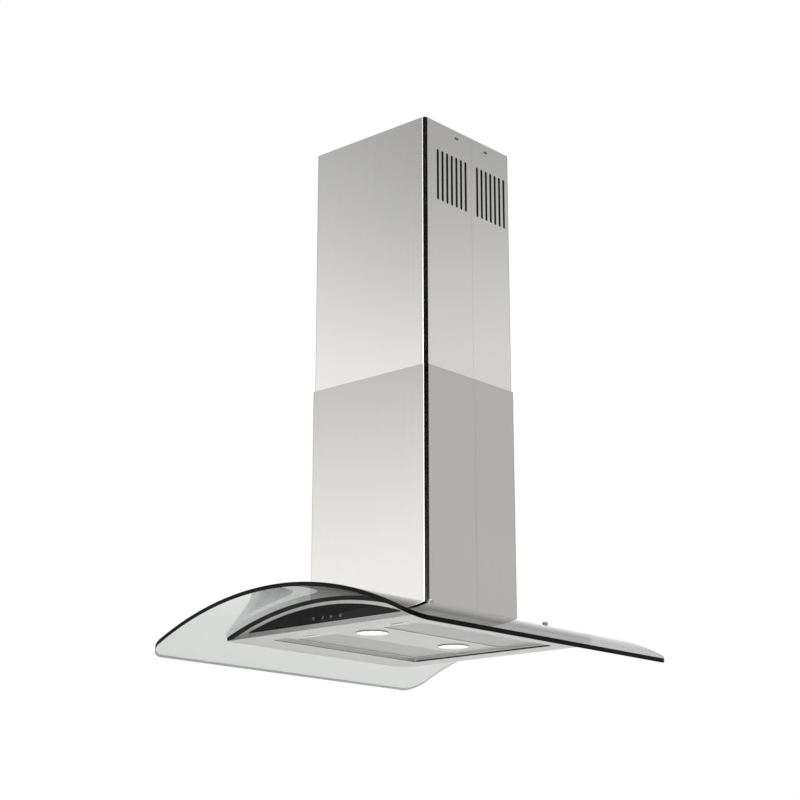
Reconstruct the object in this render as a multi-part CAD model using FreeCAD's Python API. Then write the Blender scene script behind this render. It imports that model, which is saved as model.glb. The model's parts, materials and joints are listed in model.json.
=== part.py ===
import FreeCAD
import Part
import math
import os

# Island range hood: a glass canopy and a stainless body hung from the ceiling on a telescopic frame,
# with the blower above the glass inside a two-stage chimney. All sizes are in millimetres.
# The shapes are drawn with Z = 0 at the body's underside, X along the control panel and -Y to the front.
# They are stored hang_drop lower, so that the stored origin is the centre of the ceiling plate's top face.

Vector = FreeCAD.Vector
hang_drop = 1078.0
running_gap = 0.3
sheet = 1.2

# Steel body under the glass
body_half = 270.0
body_rear_radius = 46.0
body_front_radius = 4.0
body_crown = 50.0
body_arch_radius = 677.0
flange_thickness = 1.5
body_opening = (140.0, 124.0)

# Curved glass canopy and its fixings
glass_half_x = 356.0
glass_half_y = 406.0
glass_corner_radius = 40.0
glass_thickness = 8.0
glass_radius = 735.0
glass_crown = 66.6
throat_half = (152.0, 136.0)
throat_radius = 12.0
seal_width = 12.0
fixing_x = 200.0
fixing_y = 180.0
stud_radius = 3.0
cap_foot_radius = 6.5
cap_foot_height = 1.5
cap_dome_radius = 5.4

# Chimney covers, each in a front and a rear half that meet at seam_y
lower_cover_half = (160.0, 144.0)
upper_cover_half = (157.5, 141.5)
cover_bend_radius = 8.0
cover_wall = 1.0
cover_joint_z = 533.2
cover_overlap = 60.0
cover_top_z = 1075.4
seam_y = 10.0
seam_gap = 0.3
lap_width = 12.0
lap_wall = 0.8
vent_count = 7
vent_pitch = 15.2
vent_group_offset = 65.0
vent_width = 7.0
vent_length = 114.0
vent_top_z = 1014.0
screw_slot_offset = 49.0
screw_slot_length = 13.0
screw_slot_width = 5.0
screw_slot_z = 1058.0

# Telescopic support frame
post_wall = 2.0
post_flange = 24.0
lower_post_half = (148.0, 132.0)
upper_post_half = (150.3, 134.3)
lower_post_top = 578.0
upper_post_bottom = 498.0
height_travel = 360.0
bolt_y = 121.0
bolt_z = 563.0
bolt_radius = 3.0
frame_screw_z = 1058.0
frame_screw_radius = 2.4
plate_thickness = 3.0
ceiling_hole_x = 120.0
ceiling_hole_y = 100.0
ceiling_hole_radius = 4.0
duct_hole_radius = 95.0
cable_hole_radius = 14.0
cable_entry = (115.0, 50.0)

# Blower box, scroll, wheel and motor
box_half = (146.0, 130.0)
box_top = 360.0
scroll_x = -59.0
scroll_z = 190.0
scroll_half_width = 62.0
scroll_wall = 2.0
scroll_start_radius = 68.0
scroll_end_radius = 92.0
scroll_tongue = 26.0
inlet_radius = 52.0
wheel_radius = 62.0
wheel_inner_radius = 50.0
wheel_half_width = 54.0
blade_count = 30
shaft_radius = 4.0
motor_radius = 45.0
motor_front = 70.0
motor_rear = 122.0

# Duct outlet and its two non-return flaps
collar_radius = 74.5
collar_wall = 2.0
collar_top = 425.0
flap_pin_x = 5.0
flap_pin_z = 383.6
flap_pin_radius = 1.5
flap_radius = 70.8

# Underside: recess, lamp panel, lamps and grease filters
recess_half = (187.5, 220.0)
recess_radius = 6.0
recess_face_z = 7.0
ledge_z = 16.4
ledge_width = 8.0
lamp_panel_half = 48.0
lamp_y = 126.0
lamp_radius = 32.5
filter_inner_x = 48.5
filter_outer_x = 187.0
filter_front_y = -219.5
filter_rear_y = 217.5
filter_top_z = 16.0
filter_rail = 12.0
filter_front_rail = 58.0
filter_pin_y = 213.0
filter_pin_z = 11.5
filter_pin_radius = 2.0
latch_y = -187.0
latch_travel = 8.0
latch_cavity = 8.0
knob_half = 17.7
tongue_half = 8.0
tongue_z = (10.0, 12.0)
spring_radius = 1.7
spring_wire = 0.3
spring_z = 9.8

# Touch panel in the front face
panel_bottom = 9.5
panel_crown = 43.5
panel_arch_radius = 669.0
panel_half = 203.0

nodes = {}


def block(x0, x1, y0, y1, z0, z1):
    return Part.makeBox(x1 - x0, y1 - y0, z1 - z0, Vector(x0, y0, z0))


def rod(radius, start, direction, length):
    return Part.makeCylinder(radius, length, Vector(*start), Vector(*direction))


def tube(outer, inner, start, direction, length):
    return rod(outer, start, direction, length).cut(rod(inner, start, direction, length))


def rounded_prism(half_x, half_y, z0, z1, front_radius, rear_radius=None, centre=(0.0, 0.0)):
    # A rectangle with its own corner radius at the front and at the rear, raised from z0 to z1
    rear_radius = front_radius if rear_radius is None else rear_radius
    corners = [(-1, -1, front_radius), (1, -1, front_radius), (1, 1, rear_radius), (-1, 1, rear_radius)]
    arcs = []
    for index, (side_x, side_y, radius) in enumerate(corners):
        middle = Vector(centre[0] + side_x * (half_x - radius), centre[1] + side_y * (half_y - radius), z0)
        start = math.pi + index * math.pi / 2
        points = []
        for angle in (start, start + math.pi / 4, start + math.pi / 2):
            points.append(middle + Vector(radius * math.cos(angle), radius * math.sin(angle), 0))
        arcs.append(points)
    edges = []
    for index, points in enumerate(arcs):
        edges.append(Part.Arc(*points).toShape())
        edges.append(Part.makeLine(points[2], arcs[(index + 1) % 4][0]))
    return Part.Face(Part.Wire(edges)).extrude(Vector(0, 0, z1 - z0))


def arch(radius, crown, half_y=500.0):
    # A long round bar along Y whose top line is at the crown height
    return rod(radius, (0, -half_y, crown - radius), (0, 1, 0), 2 * half_y)


def mirrored(shape):
    # The left-hand twin of a part on the right
    return shape.mirror(Vector(0, 0, 0), Vector(1, 0, 0))


def joined(shapes):
    return shapes[0].multiFuse(shapes[1:]).removeSplitter()


steel_arch = arch(body_arch_radius, body_crown)
glass_top = arch(glass_radius, glass_crown)
glass_under = arch(glass_radius - glass_thickness, glass_crown - glass_thickness)


# ---------------------------------------------------------------- glass canopy and seals

def fixing_frames():
    # The four glass fixings stand square to the curved glass: a point on the arch's axis and a direction
    tilt = math.asin(fixing_x / glass_radius)
    for side_x in (-1, 1):
        for side_y in (-1, 1):
            direction = Vector(side_x * math.sin(tilt), 0, math.cos(tilt))
            yield Vector(0, side_y * fixing_y, glass_crown - glass_radius), direction


def on_fixings(outer, inner, start, end):
    # One ring or rod on every fixing, between two distances from the arch's axis
    pieces = []
    for centre, direction in fixing_frames():
        piece = Part.makeCylinder(outer, end - start, centre + direction * start, direction)
        if inner:
            piece = piece.cut(Part.makeCylinder(inner, end - start, centre + direction * start, direction))
        pieces.append(piece)
    return pieces


def make_glass():
    outline = rounded_prism(glass_half_x, glass_half_y, -100, 100, glass_corner_radius)
    glass = outline.common(glass_top.cut(glass_under))
    glass = glass.cut(rounded_prism(*throat_half, -100, 100, throat_radius))
    for hole in on_fixings(stud_radius + 0.5, 0, glass_radius - 20, glass_radius + 5):
        glass = glass.cut(hole)
    nodes["glass_canopy"] = glass


def make_seals():
    between = glass_under.cut(steel_arch).common(block(-300, 300, -300, 300, flange_thickness, 80))
    outer = rounded_prism(body_half, body_half, 0, 80, body_front_radius, body_rear_radius)
    inner = rounded_prism(body_half - seal_width, body_half - seal_width, 0, 80,
                          body_front_radius, body_rear_radius - seal_width)
    nodes["glass_seal"] = outer.cut(inner).common(between)
    half_x, half_y = throat_half
    outer = rounded_prism(half_x + seal_width, half_y + seal_width, 0, 80, throat_radius + seal_width)
    inner = rounded_prism(half_x, half_y, 0, 80, throat_radius)
    nodes["throat_seal"] = outer.cut(inner).common(between)


def make_fixings():
    under = glass_radius - glass_thickness
    studs = [stud.cut(steel_arch) for stud in on_fixings(stud_radius, 0, under - 20, glass_radius + 5)]
    nodes["glass_studs"] = Part.makeCompound(studs)
    spacers = [ring.cut(steel_arch) for ring in on_fixings(9.0, stud_radius, under - 20, under - 0.6)]
    nodes["glass_spacers"] = Part.makeCompound(spacers)
    caps = []
    for centre, direction in fixing_frames():
        base = centre + direction * glass_radius
        foot = Part.makeCylinder(cap_foot_radius, cap_foot_height, base, direction)
        dome = Part.makeSphere(cap_dome_radius, base + direction)
        dome = dome.common(Part.makeCylinder(cap_dome_radius, 10.0, base, direction))
        bore = Part.makeCylinder(stud_radius, 6.0, centre + direction * (glass_radius - 1.0), direction)
        caps.append(foot.fuse(dome).cut(bore))
    nodes["cap_nuts"] = Part.makeCompound(caps)


# ---------------------------------------------------------------- steel body

def panel_outline(shrink, y0, y1):
    # The lens-shaped touch panel: flat below, arched above, its pointed ends cut off short
    bar = rod(panel_arch_radius - shrink, (0, y0, panel_crown - panel_arch_radius), (0, 1, 0), y1 - y0)
    limit = block(shrink - panel_half, panel_half - shrink, y0, y1, panel_bottom + shrink, body_crown)
    return bar.common(limit)


def make_hood_body():
    outer = rounded_prism(body_half, body_half, flange_thickness, body_crown + 5,
                          body_front_radius, body_rear_radius).common(steel_arch)
    inside_half = body_half - sheet
    inner = rounded_prism(inside_half, inside_half, 0, body_crown + 5,
                          body_front_radius - sheet, body_rear_radius - sheet)
    inner = inner.common(arch(body_arch_radius - sheet, body_crown - sheet))
    shell = outer.cut(inner).cut(rounded_prism(*body_opening, 0, 80, 8.0))
    nodes["hood_body"] = shell.cut(panel_outline(0, -body_half - 5, -body_half + 5))


def make_touch_panel():
    nodes["touch_panel"] = panel_outline(0.2, -body_half - 0.3, -body_half + 2.7)
    nodes["touch_board"] = block(-62, 62, 2.7 - body_half, 4.3 - body_half, 12, 34)


def filter_pin_hole(reach):
    # The running holes for the filters' hinge pins, drilled through from side to side
    return rod(filter_pin_radius + 0.08, (-reach, filter_pin_y, filter_pin_z), (1, 0, 0), 2 * reach)


def make_underside_frame():
    half_x, half_y = recess_half
    wall_x = half_x + sheet
    wall_y = half_y + sheet
    flange = rounded_prism(body_half, body_half, 0, flange_thickness, body_front_radius, body_rear_radius)
    walls = rounded_prism(wall_x, wall_y, 0, ledge_z + 3.6, recess_radius + sheet)
    frame = flange.fuse(walls).cut(rounded_prism(half_x, half_y, -5, 50, recess_radius))
    for side in (-1, 1):
        edge = sorted((side * half_x, side * (half_x - ledge_width)))
        frame = frame.fuse(block(*edge, -half_y + 0.1, 200, ledge_z, ledge_z + sheet))
        edge = sorted((side * lamp_panel_half, side * (half_x - 4)))
        frame = frame.fuse(block(*edge, -half_y, -half_y + ledge_width, ledge_z, ledge_z + sheet))
    for side in (-1, 1):
        slot_x = side * (filter_inner_x + filter_outer_x) / 2
        frame = frame.cut(tongue_slot(slot_x, -wall_y - 1, -half_y + 1, 0.5))
    nodes["underside_frame"] = frame.cut(filter_pin_hole(wall_x + 5))


# ---------------------------------------------------------------- lamps

def make_lamp_panel():
    half = lamp_panel_half
    length = recess_half[1] - 0.2
    top = ledge_z + sheet
    channel = block(-half, half, -length, length, recess_face_z, top)
    channel = channel.cut(block(sheet - half, half - sheet, -length, length, recess_face_z + sheet, top))
    front = ledge_width - recess_half[1] + 0.2
    for side in (-1, 1):
        edge = sorted((side * (half - 0.5), side * (half + 7)))
        channel = channel.fuse(block(*edge, front, 200, ledge_z, top))
        channel = channel.cut(rod(lamp_radius - 4, (0, side * lamp_y, 0), (0, 0, 1), 15))
    nodes["lamp_panel"] = channel.cut(filter_pin_hole(half + 5))


def make_lamp(name, y):
    lens_radius = lamp_radius - 6.1
    face = recess_face_z
    flange = tube(lamp_radius, lamp_radius - 8.5, (0, y, face - 1.6), (0, 0, 1), 1.6)
    collar = tube(lamp_radius - 4.2, lamp_radius - 5.9, (0, y, face), (0, 0, 1), 11)
    nodes["lamp_bezel_" + name] = flange.fuse(collar).removeSplitter()
    nodes["lamp_lens_" + name] = rod(lens_radius, (0, y, face), (0, 0, 1), 2)
    housing = rod(lens_radius, (0, y, face + 2), (0, 0, 1), 17)
    cup = Part.makeCone(lens_radius - 2, 8, 12, Vector(0, y, face + 2))
    nodes["lamp_housing_" + name] = housing.cut(cup)


# ---------------------------------------------------------------- grease filters, right-hand one drawn

def make_filter():
    middle_x = (filter_inner_x + filter_outer_x) / 2
    middle_y = (filter_front_y + filter_rear_y) / 2
    half_x = (filter_outer_x - filter_inner_x) / 2
    half_y = (filter_rear_y - filter_front_y) / 2
    face = recess_face_z
    mesh_x = (filter_inner_x + filter_rail, filter_outer_x - filter_rail)
    mesh_y = (filter_front_y + filter_front_rail, filter_rear_y - filter_rail - 2)
    mesh = block(*mesh_x, *mesh_y, face + 1.5, filter_top_z - 1.5)
    frame = rounded_prism(half_x, half_y, face, filter_top_z, recess_radius + 1, centre=(middle_x, middle_y))
    frame = frame.cut(block(*mesh_x, *mesh_y, 0, 30))
    for x, way in ((filter_inner_x + 1, -1), (filter_outer_x - 1, 1)):
        frame = frame.fuse(rod(filter_pin_radius, (x, filter_pin_y, filter_pin_z), (way, 0, 0), 2.9))
    housing, passage = make_latch_housing(middle_x)
    slider, spring = make_latch_slider(middle_x)
    frame = frame.cut(passage)
    frame = frame.cut(tongue_slot(middle_x, filter_front_y - 5, latch_y, running_gap))
    pieces = {"filter_frame": frame, "filter_mesh": mesh, "latch_housing": housing,
              "latch_slider": slider, "latch_spring": spring}
    for name, shape in pieces.items():
        nodes[name + "_right"] = shape
        nodes[name + "_left"] = mirrored(shape)


def tongue_slot(middle_x, y0, y1, gap):
    half = tongue_half + gap
    return block(middle_x - half, middle_x + half, y0, y1, tongue_z[0] - gap, tongue_z[1] + gap)


def make_latch_housing(middle_x):
    # A cup in the filter's front rail, with a thin bezel below and a blind spring bore at the back
    face = recess_face_z
    front = latch_y - latch_cavity
    rear = latch_y + latch_cavity
    half = knob_half + running_gap
    passage = block(middle_x - half - 5, middle_x + half + 5, front - 3, rear + 15, 0, 14)
    housing = passage.common(block(0, 300, -300, 300, face, 14))
    bezel_x = (middle_x - half - 7, middle_x + half + 7)
    housing = housing.fuse(block(*bezel_x, front - 5, rear + 5, face - 0.8, face))
    housing = housing.cut(block(middle_x - half, middle_x + half, front, rear, 0, 12.5))
    housing = housing.cut(tongue_slot(middle_x, front - 4, front + 1, running_gap))
    bore = rod(spring_radius + 0.5, (middle_x, rear - 1, spring_z), (0, 1, 0), 14)
    return housing.cut(bore).removeSplitter(), passage


def make_latch_slider(middle_x):
    front = latch_y - latch_cavity + running_gap
    rear = latch_y + latch_cavity - latch_travel - 0.7
    knob = block(middle_x - knob_half, middle_x + knob_half, front, rear, recess_face_z - 0.4, 12.2)
    tongue = block(middle_x - tongue_half, middle_x + tongue_half, filter_front_y - 4.5, front + 1, *tongue_z)
    length = latch_y + latch_cavity + 13 - rear - 2 * spring_wire
    helix = Part.makeHelix(length / 10, length, spring_radius)
    section = Part.Wire(Part.makeCircle(spring_wire, Vector(spring_radius, 0, 0), Vector(0, 1, 0)))
    spring = Part.Wire(helix).makePipeShell([section], True, True)
    spring.rotate(Vector(0, 0, 0), Vector(1, 0, 0), -90)
    spring.translate(Vector(middle_x, rear + spring_wire, spring_z))
    return knob.fuse(tongue).removeSplitter(), spring


# ---------------------------------------------------------------- chimney covers

def make_cover(name, half, bottom, top, vented):
    half_x, half_y = half
    inner_x = half_x - cover_wall
    inner_y = half_y - cover_wall
    shell = rounded_prism(half_x, half_y, bottom, top, cover_bend_radius)
    shell = shell.cut(rounded_prism(inner_x, inner_y, bottom, top, cover_bend_radius - cover_wall))
    if vented:
        for group in (-1, 1):
            for index in range(vent_count):
                y = seam_y + group * vent_group_offset + (index - (vent_count - 1) / 2) * vent_pitch
                shell = shell.cut(upright_slot(y, vent_top_z - vent_length, vent_top_z, vent_width / 2))
            y = seam_y + group * screw_slot_offset
            reach = (screw_slot_length - screw_slot_width) / 2
            slot = block(-200, 200, y - reach, y + reach,
                         screw_slot_z - screw_slot_width / 2, screw_slot_z + screw_slot_width / 2)
            for end in (y - reach, y + reach):
                slot = slot.fuse(rod(screw_slot_width / 2, (-200, end, screw_slot_z), (1, 0, 0), 400))
            shell = shell.cut(slot)
    front = shell.common(block(-200, 200, -200, seam_y - seam_gap / 2, 0, 1200))
    rear = shell.common(block(-200, 200, seam_y + seam_gap / 2, 200, 0, 1200))
    # The rear half carries a lap strip on each side that reaches behind the front half
    for side in (-1, 1):
        edge = sorted((side * inner_x, side * (inner_x - lap_wall)))
        rear = rear.fuse(block(*edge, seam_y - lap_width, seam_y + lap_width, bottom + 20, top - 1))
    nodes[name + "_front"] = front.cut(arch(glass_radius + running_gap, glass_crown + running_gap))
    nodes[name + "_rear"] = rear.cut(arch(glass_radius + running_gap, glass_crown + running_gap))


def upright_slot(y, z0, z1, radius):
    # A slot with round ends through both side faces
    slot = block(-200, 200, y - radius, y + radius, z0 + radius, z1 - radius)
    for z in (z0 + radius, z1 - radius):
        slot = slot.fuse(rod(radius, (-200, y, z), (1, 0, 0), 400))
    return slot


# ---------------------------------------------------------------- telescopic support frame

def make_post(name, half, side_x, side_y, bottom, top):
    outer_x, outer_y = half
    post = block(outer_x - post_flange, outer_x, outer_y - post_flange, outer_y, bottom, top)
    post = post.cut(block(0, outer_x - post_wall, 0, outer_y - post_wall, bottom, top))
    if name == "lower_post":
        post = post.cut(steel_arch)
        post = post.cut(rod(bolt_radius, (outer_x - 10, bolt_y, bolt_z), (1, 0, 0), 20))
    else:
        radius = bolt_radius + 0.5
        slot = block(outer_x - 10, outer_x + 10, bolt_y - radius, bolt_y + radius,
                     bolt_z - 15 + radius, bolt_z + height_travel + 15 - radius)
        post = post.cut(slot)
        post = post.cut(rod(frame_screw_radius, (outer_x - 10, bolt_y, frame_screw_z), (1, 0, 0), 20))
    if side_x < 0:
        post = mirrored(post)
    if side_y < 0:
        post = post.mirror(Vector(0, 0, 0), Vector(0, 1, 0))
    row = "front" if side_y < 0 else "rear"
    side = "left" if side_x < 0 else "right"
    nodes["_".join((name, row, side))] = post


def make_frame_fasteners():
    bolts = []
    nuts = []
    screws = []
    upper_x = upper_post_half[0]
    lower_x = lower_post_half[0]
    for side_x in (-1, 1):
        for y in (-bolt_y, bolt_y):
            way = (side_x, 0, 0)
            shank = rod(bolt_radius, (side_x * (lower_x - 9), y, bolt_z), way, upper_x - lower_x + 9.5)
            head = rod(6.0, (side_x * (upper_x + running_gap), y, bolt_z), way, 2.8)
            bolts.append(shank.fuse(head).removeSplitter())
            nuts.append(hex_nut(side_x * (lower_x - post_wall), y, bolt_z, -side_x))
            shank = rod(frame_screw_radius, (side_x * (upper_x - 7), y, frame_screw_z), way, 7)
            head = rod(4.5, (side_x * upper_x, y, frame_screw_z), way, 2.2)
            screws.append(shank.fuse(head).removeSplitter())
    nodes["frame_bolts"] = Part.makeCompound(bolts)
    nodes["frame_nuts"] = Part.makeCompound(nuts)
    nodes["frame_screws"] = Part.makeCompound(screws)


def hex_nut(x, y, z, way):
    angles = [step * math.pi / 3 for step in range(7)]
    corners = [Vector(x, y + 5.8 * math.cos(angle), z + 5.8 * math.sin(angle)) for angle in angles]
    nut = Part.Face(Part.makePolygon(corners)).extrude(Vector(way * 5, 0, 0))
    return nut.cut(rod(bolt_radius, (x - way, y, z), (way, 0, 0), 8))


def make_ceiling_plate():
    outer_x, outer_y = upper_post_half
    inner_x = outer_x - post_wall
    inner_y = outer_y - post_wall
    under = hang_drop - plate_thickness
    plate = block(-outer_x, outer_x, -outer_y, outer_y, under, hang_drop)
    plate = plate.cut(rod(duct_hole_radius, (0, 0, under - 1), (0, 0, 1), 10))
    plate = plate.cut(rod(cable_hole_radius, (*cable_entry, under - 1), (0, 0, 1), 10))
    for x in (-ceiling_hole_x, ceiling_hole_x):
        for y in (-ceiling_hole_y, ceiling_hole_y):
            plate = plate.cut(rod(ceiling_hole_radius, (x, y, under - 1), (0, 0, 1), 10))
    for side in (-1, 1):
        edge = sorted((side * inner_x, side * (inner_x - 2)))
        plate = plate.fuse(block(*edge, -inner_y, inner_y, under - 37, under))
        for y in (-bolt_y, bolt_y):
            plate = plate.cut(rod(frame_screw_radius, (side * inner_x - 5, y, frame_screw_z), (1, 0, 0), 10))
    nodes["ceiling_plate"] = plate.removeSplitter()


def make_cover_brackets():
    # Two Z brackets at the foot of the blower box that centre the lower cover
    box_x = box_half[0]
    cover_x = lower_cover_half[0] - cover_wall
    foot = block(box_x, box_x + 1.5, -60, -30, 54, 68)
    web = block(box_x, cover_x, -60, -30, 66.5, 68)
    lip = block(cover_x - 1.5, cover_x, -60, -30, 54, 68)
    bracket = joined([foot, web, lip])
    nodes["cover_brackets"] = Part.makeCompound([bracket, mirrored(bracket)])


# ---------------------------------------------------------------- blower

def make_blower_box():
    half_x, half_y = box_half
    box = block(-half_x, half_x, -half_y, half_y, 10, box_top)
    box = box.cut(block(sheet - half_x, half_x - sheet, sheet - half_y, half_y - sheet, 0, box_top - sheet))
    box = box.cut(rod(collar_radius - collar_wall, (0, 0, box_top - 5), (0, 0, 1), 10))
    nodes["blower_box"] = box.cut(steel_arch)


def scroll_body(inset, half_width, top):
    # The volute: its radius grows evenly from the tongue, round under the wheel and up into the throat
    points = []
    for step in range(19):
        turn = step / 18
        angle = math.radians(90 + 270 * turn)
        radius = scroll_start_radius + (scroll_end_radius - scroll_start_radius) * turn - inset
        reach = Vector(radius * math.cos(angle), 0, radius * math.sin(angle))
        points.append(Vector(scroll_x, -half_width, scroll_z) + reach)
    spiral = Part.BSplineCurve()
    spiral.interpolate(points)
    tongue_x = scroll_x + scroll_tongue + inset
    corners = [points[-1], Vector(points[-1].x, -half_width, top), Vector(tongue_x, -half_width, top),
               Vector(tongue_x, -half_width, points[0].z), points[0]]
    edges = [spiral.toShape()]
    for start, end in zip(corners, corners[1:]):
        edges.append(Part.makeLine(start, end))
    return Part.Face(Part.Wire(edges)).extrude(Vector(0, 2 * half_width, 0))


def make_scroll():
    top = box_top - sheet
    width = scroll_half_width
    scroll = scroll_body(0, width, top).cut(scroll_body(scroll_wall, width - scroll_wall, top + 5))
    scroll = scroll.cut(rod(inlet_radius, (scroll_x, -width - 5, scroll_z), (0, 1, 0), 2 * width + 10))
    nodes["scroll_front"] = scroll.common(block(-150, 50, -width, 0, 0, 400))
    nodes["scroll_rear"] = scroll.common(block(-150, 50, 0, width, 0, 400))


def make_wheel():
    axis = (0, 1, 0)
    width = wheel_half_width
    pieces = [rod(wheel_radius - 0.5, (scroll_x, -1, scroll_z), axis, 2)]
    pieces.append(rod(10.0, (scroll_x, -9, scroll_z), axis, 18))
    for y in (-width, width - 2):
        pieces.append(tube(wheel_radius, wheel_inner_radius, (scroll_x, y, scroll_z), axis, 2))
    middle = (wheel_radius + wheel_inner_radius) / 2
    for index in range(blade_count):
        blade = block(-5.4, 5.4, -width + 1, width - 1, -0.6, 0.6)
        blade.rotate(Vector(0, 0, 0), Vector(0, 1, 0), 35)
        blade.translate(Vector(middle, 0, 0))
        blade.rotate(Vector(0, 0, 0), Vector(0, 1, 0), index * 360 / blade_count)
        blade.translate(Vector(scroll_x, 0, scroll_z))
        pieces.append(blade)
    wheel = joined(pieces)
    nodes["blower_wheel"] = wheel.cut(rod(shaft_radius, (scroll_x, -20, scroll_z), axis, 40))
    nodes["motor_shaft"] = rod(shaft_radius, (scroll_x, -12, scroll_z), axis, motor_rear - 4 + 12)


def make_motor():
    axis = (0, 1, 0)
    can = rod(motor_radius, (scroll_x, motor_front, scroll_z), axis, motor_rear - motor_front)
    bore = rod(shaft_radius + 0.08, (scroll_x, motor_front, scroll_z), axis, motor_rear - motor_front - 2)
    nodes["motor"] = can.cut(bore)
    plate_y = scroll_half_width + 4
    pieces = [tube(motor_radius + 1, 30, (scroll_x, plate_y, scroll_z), axis, motor_front - plate_y)]
    for index in range(3):
        arm = block(40, 64, plate_y, motor_front, -6, 6)
        arm = arm.fuse(block(55, 64, scroll_half_width, plate_y, -6, 6))
        arm.rotate(Vector(0, 0, 0), Vector(0, 1, 0), 30 + 120 * index)
        arm.translate(Vector(scroll_x, 0, scroll_z))
        pieces.append(arm)
    nodes["motor_bracket"] = joined(pieces)


def make_electrics():
    nodes["capacitor"] = rod(16.0, (-116, -35, box_top + 16), (0, 1, 0), 70)
    case = block(90, 140, -85, 85, box_top, box_top + 40)
    case = case.cut(block(91.5, 138.5, -83.5, 83.5, box_top + 1.5, box_top + 40))
    nodes["control_box"] = case
    lid = block(90, 140, -85, 85, box_top + 40, box_top + 41.5)
    nodes["control_box_lid"] = lid.cut(rod(6.0, (*cable_entry, box_top + 35), (0, 0, 1), 10))
    gland = tube(6.0, 4.0, (*cable_entry, box_top + 40), (0, 0, 1), 1.5)
    gland = gland.fuse(tube(10.0, 4.0, (*cable_entry, box_top + 41.5), (0, 0, 1), 6))
    gland = gland.fuse(tube(7.5, 4.0, (*cable_entry, box_top + 47.5), (0, 0, 1), 9))
    nodes["mains_gland"] = gland.removeSplitter()


# ---------------------------------------------------------------- duct outlet

def make_outlet():
    up = (0, 0, 1)
    bore = collar_radius - collar_wall
    ledge = flap_pin_z - 6.1
    collar = tube(collar_radius, bore, (0, 0, box_top), up, collar_top - box_top)
    collar = collar.fuse(tube(collar_radius + 9.5, bore, (0, 0, box_top), up, 3))
    collar = collar.fuse(tube(bore + 0.5, bore - 3, (0, 0, ledge), up, 2.5))
    bar = block(-1.7, 1.7, -bore - 0.5, bore + 0.5, ledge, ledge + 9)
    collar = collar.fuse(bar).removeSplitter()
    pins = []
    for side in (-1, 1):
        start = (side * flap_pin_x, -collar_radius, flap_pin_z)
        pin = rod(flap_pin_radius, start, (0, 1, 0), 2 * collar_radius)
        pin = pin.common(rod(collar_radius, (0, 0, box_top), up, 60))
        collar = collar.cut(rod(flap_pin_radius, (start[0], -100, flap_pin_z), (0, 1, 0), 200))
        pins.append(pin)
    nodes["outlet_collar"] = collar
    nodes["damper_pins"] = Part.makeCompound(pins)
    plate = rod(flap_radius, (0, 0, ledge + 2.8), up, 1.5)
    plate = plate.common(block(flap_pin_x, 100, -100, 100, 300, 500))
    flap = plate.fuse(rod(3.0, (flap_pin_x, -64, flap_pin_z), (0, 1, 0), 128))
    flap = flap.cut(rod(flap_pin_radius + 0.07, (flap_pin_x, -100, flap_pin_z), (0, 1, 0), 200))
    nodes["damper_flap_right"] = flap
    nodes["damper_flap_left"] = mirrored(flap)


def main():
    make_glass()
    make_seals()
    make_fixings()
    make_hood_body()
    make_touch_panel()
    make_underside_frame()
    make_lamp_panel()
    make_lamp("front", -lamp_y)
    make_lamp("rear", lamp_y)
    make_filter()
    make_cover("lower_cover", lower_cover_half, 20.0, cover_joint_z, False)
    make_cover("upper_cover", upper_cover_half, cover_joint_z - cover_overlap, cover_top_z, True)
    plate_under = hang_drop - plate_thickness
    for side_x in (-1, 1):
        for side_y in (-1, 1):
            make_post("lower_post", lower_post_half, side_x, side_y, 10, lower_post_top)
            make_post("upper_post", upper_post_half, side_x, side_y, upper_post_bottom, plate_under)
    make_frame_fasteners()
    make_ceiling_plate()
    make_cover_brackets()
    make_blower_box()
    make_scroll()
    make_wheel()
    make_motor()
    make_electrics()
    make_outlet()
    os.makedirs("parts", exist_ok=True)
    for name, shape in nodes.items():
        placed = shape.copy()
        placed.translate(Vector(0, 0, -hang_drop))
        placed.exportStep("parts/" + name + ".step")


main()
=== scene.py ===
import bpy
import json
import math
from mathutils import Matrix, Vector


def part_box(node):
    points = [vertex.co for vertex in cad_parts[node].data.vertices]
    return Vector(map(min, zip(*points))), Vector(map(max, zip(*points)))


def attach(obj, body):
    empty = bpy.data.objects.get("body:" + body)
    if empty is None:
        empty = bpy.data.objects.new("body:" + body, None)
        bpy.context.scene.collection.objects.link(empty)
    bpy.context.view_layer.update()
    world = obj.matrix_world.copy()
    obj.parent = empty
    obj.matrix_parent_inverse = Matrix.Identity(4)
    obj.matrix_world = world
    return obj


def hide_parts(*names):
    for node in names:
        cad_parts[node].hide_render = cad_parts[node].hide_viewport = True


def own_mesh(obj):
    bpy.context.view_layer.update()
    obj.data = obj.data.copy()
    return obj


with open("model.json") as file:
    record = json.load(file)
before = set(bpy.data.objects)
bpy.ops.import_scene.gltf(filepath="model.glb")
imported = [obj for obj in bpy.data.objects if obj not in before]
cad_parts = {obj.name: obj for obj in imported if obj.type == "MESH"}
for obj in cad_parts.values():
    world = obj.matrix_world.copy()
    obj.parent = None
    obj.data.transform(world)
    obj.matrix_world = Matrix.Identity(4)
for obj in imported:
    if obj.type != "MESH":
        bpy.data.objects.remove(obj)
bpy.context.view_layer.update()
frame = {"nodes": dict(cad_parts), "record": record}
nodes = frame["nodes"]
print("frame loaded:", len(nodes), "CAD nodes")

mm = 0.001
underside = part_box("underside_frame")[0].z  # height of the body's underside


def linear(hexCode):
    # sRGB hex to the linear values that sockets take
    parts = [int(hexCode[i:i + 2], 16) / 255 for i in (1, 3, 5)]
    return [p / 12.92 if p <= 0.04045 else ((p + 0.055) / 1.055) ** 2.4 for p in parts] + [1.0]


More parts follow.
